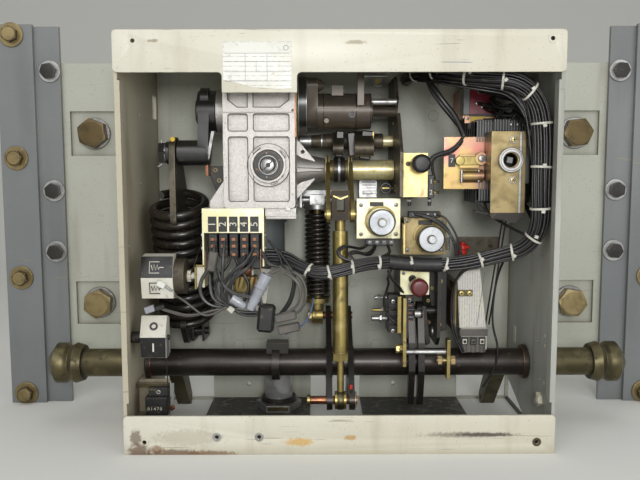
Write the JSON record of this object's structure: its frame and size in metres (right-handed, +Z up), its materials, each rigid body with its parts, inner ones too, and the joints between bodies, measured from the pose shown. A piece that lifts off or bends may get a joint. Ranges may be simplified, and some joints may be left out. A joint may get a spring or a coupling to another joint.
{
  "type": "circuit breaker operating mechanism",
  "caption": "Spring-operated mechanism of a medium-voltage circuit breaker: open-fronted housing on a winged plate, gear case, springs, push rod, latches, coils and drive shaft.",
  "frame": {"origin": "on the floor, at the middle of the whole part's footprint", "axes": "+X right along the drive shaft, +Y into the housing towards the rear plate, +Z up"},
  "size_m": [0.92, 0.209, 0.526],
  "materials": {
    "cream_paint": "satin",
    "grey_paint": "satin",
    "blue_grey_paint": "gloss",
    "case_aluminium": "cast",
    "zinc_yellow": "yellow passivated",
    "zinc_bright": "bright",
    "black_steel": "oiled",
    "shaft_steel": "oiled",
    "spring_steel": "lacquered",
    "olive_steel": "chromated",
    "black_plastic": "matte",
    "maroon_plastic": "matte",
    "white_plastic": "matte",
    "motor_paint": "satin",
    "relay_red": "matte",
    "cable_black": "satin"
  },
  "bodies": {
    "housing": {"aux_channel": "zinc_yellow", "aux_plate": "zinc_yellow", "aux_switch": "black_plastic", "bearing_plate": "grey_paint", "bottom_panel": "cream_paint", "close_box": "zinc_yellow", "closing_cam": "black_steel", "closing_coil": "zinc_bright", "closing_crank": "black_steel", "closing_shaft": "shaft_steel", "closing_spring": "spring_steel", "contact_block": "black_plastic", "counter": "black_plastic", "counter_bracket": "zinc_yellow", "damper": "zinc_bright", "follower_shaft": "zinc_bright", "frame_bolts": "zinc_yellow", "gear_case": "case_aluminium", "harness_main": "cable_black", "harness_sleeve": "cable_black", "indicator_stub": "black_steel", "inner_strips": "blue_grey_paint", "latch_claws": "black_steel", "latch_frame": "black_steel", "latch_shaft": "olive_steel", "left_wall": "cream_paint", "limit_switches": "black_plastic", "link_plates": "olive_steel", "motor": "motor_paint", "outer_strips": "blue_grey_paint", "rear_plate": "grey_paint", "relay": "relay_red", "relay_base": "zinc_yellow", "release_unit": "white_plastic", "right_wall": "grey_paint", "spring_anchor": "black_steel", "spring_bracket": "zinc_bright", "spring_indicator": "white_plastic", "spring_strap": "olive_steel", "stop_plate": "olive_steel", "switch_bracket": "zinc_yellow", "top_panel": "cream_paint", "trip_coil": "zinc_yellow", "window_pads": "grey_paint"},
    "shaft_group": {"main_shaft": "shaft_steel", "shaft_couplings": "olive_steel", "drive_levers": "black_steel", "lever_pins": "zinc_yellow", "pole_levers": "olive_steel", "damper_lever": "black_steel"},
    "rod_group": {"push_rod": "zinc_yellow", "push_rod_fork": "olive_steel"},
    "follower": {"follower_lever": "olive_steel"},
    "spring_swivel": {"spring_seat": "zinc_bright", "opening_spring": "spring_steel"},
    "spring_rod": {"spring_guide": "zinc_yellow"},
    "flag": {"position_indicator": "white_plastic"},
    "hand_crank_shaft": {"crank_coupling": "zinc_bright"},
    "close_button": {"close_knob": "black_plastic"},
    "trip_button": {"trip_knob": "maroon_plastic"}
  },
  "joints": [
    {"name": "main_shaft_turn", "type": "hinge", "parent": "housing", "child": "shaft_group", "pos_m": [0, 0.0035, 0.08], "axis": [1, 0, 0], "range_deg": [0, 20]},
    {"name": "rod_pin_turn", "type": "hinge", "parent": "shaft_group", "child": "rod_group", "pos_m": [0.003, -0.0485, 0.046], "axis": [1, 0, 0], "range_deg": [-22, 0.5]},
    {"name": "follower_turn", "type": "hinge", "parent": "housing", "child": "follower", "pos_m": [0.003, 0.0235, 0.329], "axis": [1, 0, 0], "range_deg": [0, 18]},
    {"name": "spring_seat_turn", "type": "hinge", "parent": "housing", "child": "spring_swivel", "pos_m": [-0.025, 0.0555, 0.289], "axis": [1, 0, 0], "range_deg": [-9, 0]},
    {"name": "spring_rod_slide", "type": "slide", "parent": "spring_swivel", "child": "spring_rod", "axis": [0, 0, 1], "range_m": [0, 0.0155], "deforming": ["opening_spring"]},
    {"name": "indicator_turn", "type": "hinge", "parent": "housing", "child": "flag", "pos_m": [-0.22, -0.0705, 0.131], "axis": [1, 0, 0], "range_deg": [-42, 0]},
    {"name": "hand_crank_turn", "type": "hinge", "parent": "housing", "child": "hand_crank_shaft", "pos_m": [-0.082, -0.0645, 0.3345], "axis": [0, 1, 0], "continuous": true},
    {"name": "close_knob_press", "type": "slide", "parent": "housing", "child": "close_button", "axis": [0, 1, 0], "range_m": [0, 0.006], "stiffness_N_per_m": 800},
    {"name": "trip_knob_press", "type": "slide", "parent": "housing", "child": "trip_button", "axis": [0, 1, 0], "range_m": [0, 0.006], "stiffness_N_per_m": 800}
  ],
  "couplings": [
    {"joint": "rod_pin_turn", "follows": "main_shaft_turn", "ratio": -1.0501},
    {"joint": "follower_turn", "follows": "main_shaft_turn", "ratio": 0.8586},
    {"joint": "spring_seat_turn", "follows": "main_shaft_turn", "ratio": -0.39386},
    {"joint": "spring_rod_slide", "follows": "main_shaft_turn", "m_per_rad": 0.040459},
    {"joint": "indicator_turn", "follows": "main_shaft_turn", "ratio": -2}
  ]
}
